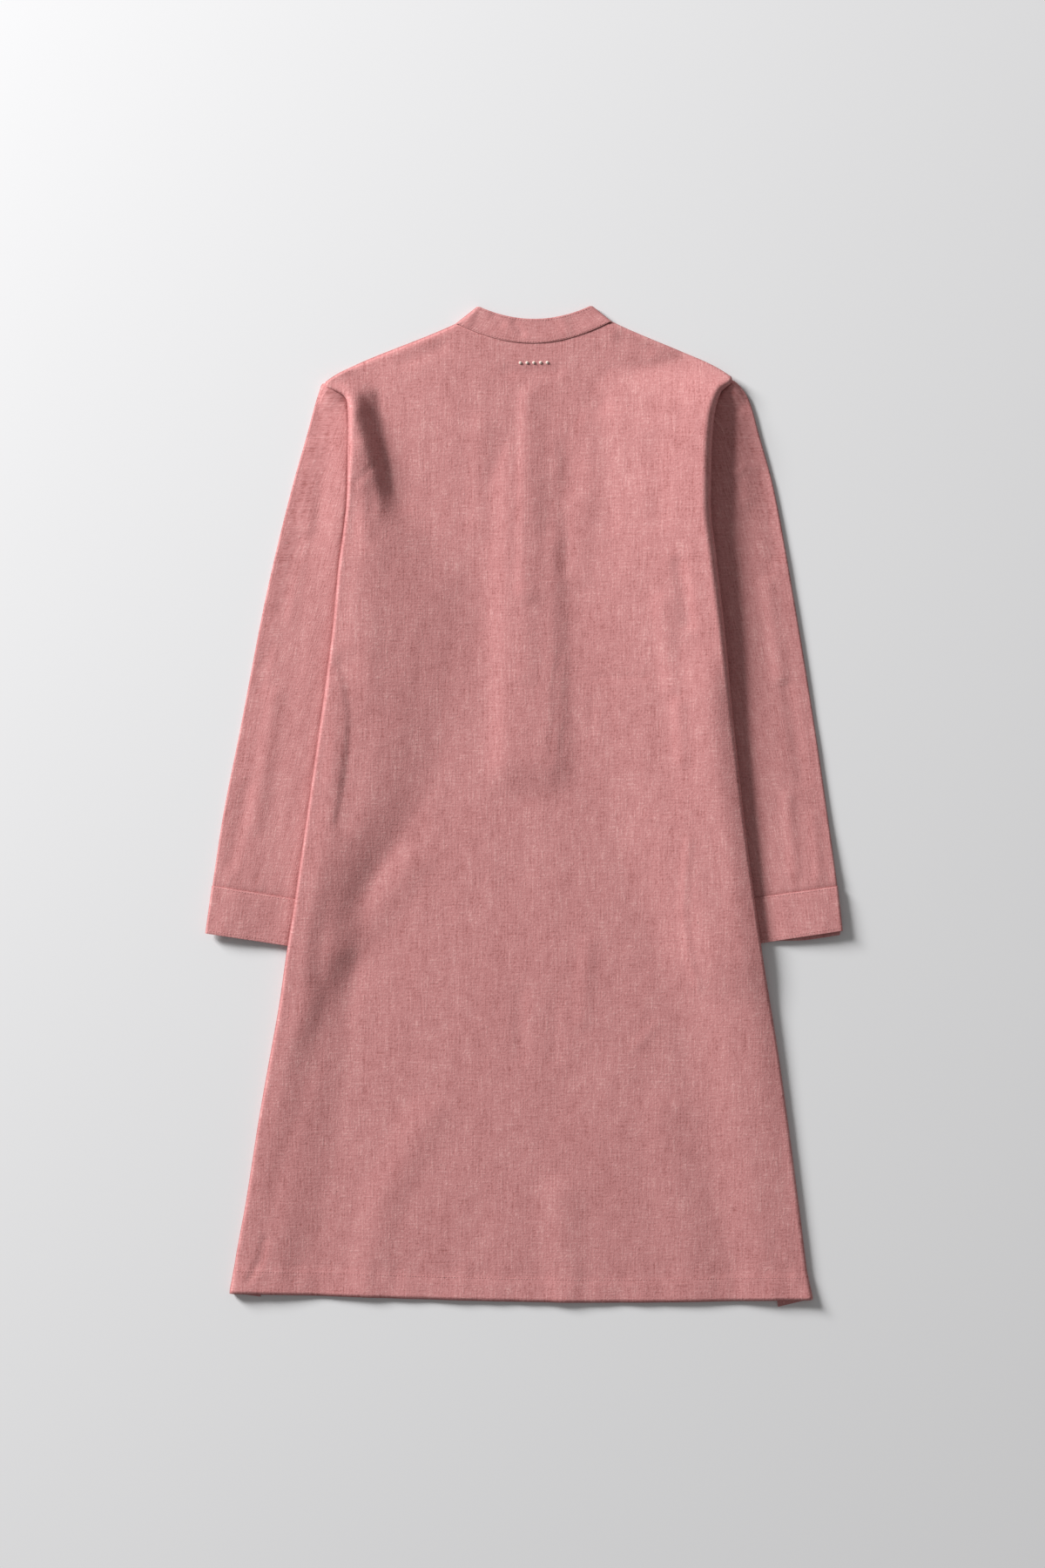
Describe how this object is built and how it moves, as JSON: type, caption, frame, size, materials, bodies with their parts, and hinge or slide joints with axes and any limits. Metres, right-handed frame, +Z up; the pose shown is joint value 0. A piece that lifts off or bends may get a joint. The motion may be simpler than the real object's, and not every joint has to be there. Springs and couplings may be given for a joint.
{
  "type": "kurta tunic",
  "caption": "Long-sleeved kurta tunic with a standing band collar, plain cuffs and side slits, laid face down with its side edges turned under.",
  "frame": {"origin": "on the surface that the garment lies on, under the middle of its bounding box", "axes": "+Z up off the surface, out of the wearer's back; +Y from hem to collar; +X towards the wearer's right side"},
  "size_m": [0.6868, 1.079, 0.0252],
  "materials": {
    "cloth": "matt slubbed plain-weave cotton, dusty rose",
    "button": "matt, dusty rose"
  },
  "bodies": {
    "root": {"back": "cloth", "front": "cloth", "sleeve_left": "cloth", "sleeve_right": "cloth", "cuff_left": "cloth", "cuff_right": "cloth", "collar": "cloth", "placket_over": "cloth", "placket_under": "cloth", "button_1": "button", "button_2": "button", "button_3": "button", "button_4": "button"}
  },
  "joints": []
}
